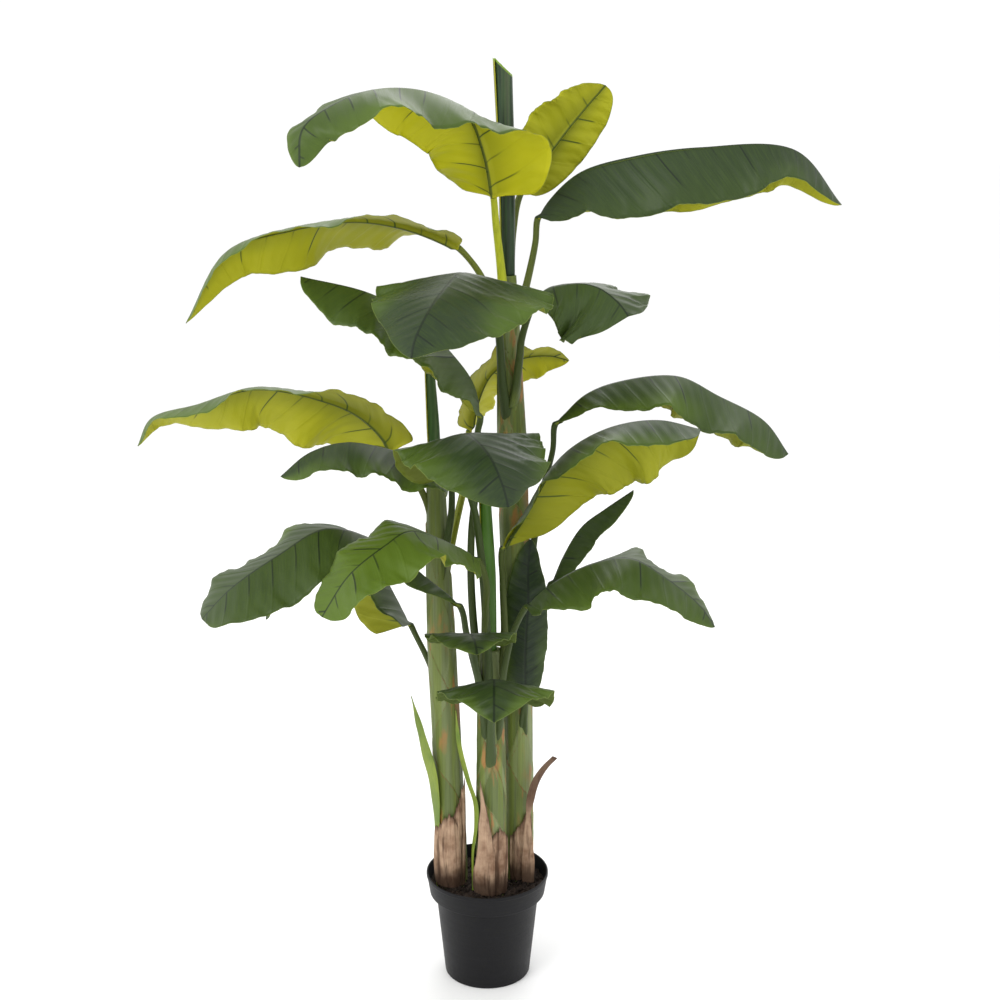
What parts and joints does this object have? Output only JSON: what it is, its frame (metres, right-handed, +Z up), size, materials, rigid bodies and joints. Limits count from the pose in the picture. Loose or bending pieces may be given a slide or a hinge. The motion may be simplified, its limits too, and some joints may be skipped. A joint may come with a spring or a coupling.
{
  "type": "potted banana plant",
  "caption": "Tall indoor banana plant in a round black plastic pot: three slim stems with broad arching leaves, rolled young leaves, sprouts and dry husks.",
  "frame": {"origin": "centre of the pot's flat foot, where it meets the floor", "axes": "+Z up along the pot's axis and the plant's height, -Y towards the viewer in front, +X to the viewer's right"},
  "size_m": [1.28, 0.6375, 1.8003],
  "materials": {
    "pot": "satin black",
    "soil": "dark crumbly soil, matt",
    "stem": "sage green, satin, with tan sheath edges",
    "rolled_leaf": "dark green, satin",
    "leaf": "dark green above, yellow-green below, satin",
    "sprout": "fresh green, satin",
    "husk": "dry tan, matt"
  },
  "bodies": {
    "root": {"pot": "pot", "soil": "soil", "stem_tall": "stem", "stem_middle": "stem", "stem_left": "stem", "rolled_leaf_tall": "rolled_leaf", "rolled_leaf_middle": "rolled_leaf", "rolled_leaf_left": "rolled_leaf", "leaf_01": "leaf", "leaf_02": "leaf", "leaf_03": "leaf", "leaf_04": "leaf", "leaf_05": "leaf", "leaf_06": "leaf", "leaf_07": "leaf", "leaf_08": "leaf", "leaf_09": "leaf", "leaf_10": "leaf", "leaf_11": "leaf", "leaf_12": "leaf", "leaf_13": "leaf", "leaf_14": "leaf", "leaf_15": "leaf", "leaf_16": "leaf", "leaf_17": "leaf", "leaf_18": "leaf", "leaf_19": "leaf", "leaf_20": "leaf", "leaf_21": "leaf", "sprout_left": "sprout", "sprout_right": "sprout", "husk_left_outer": "husk", "husk_left_inner": "husk", "husk_middle_outer": "husk", "husk_middle_inner": "husk", "husk_right": "husk", "husk_curl": "husk"}
  },
  "joints": []
}
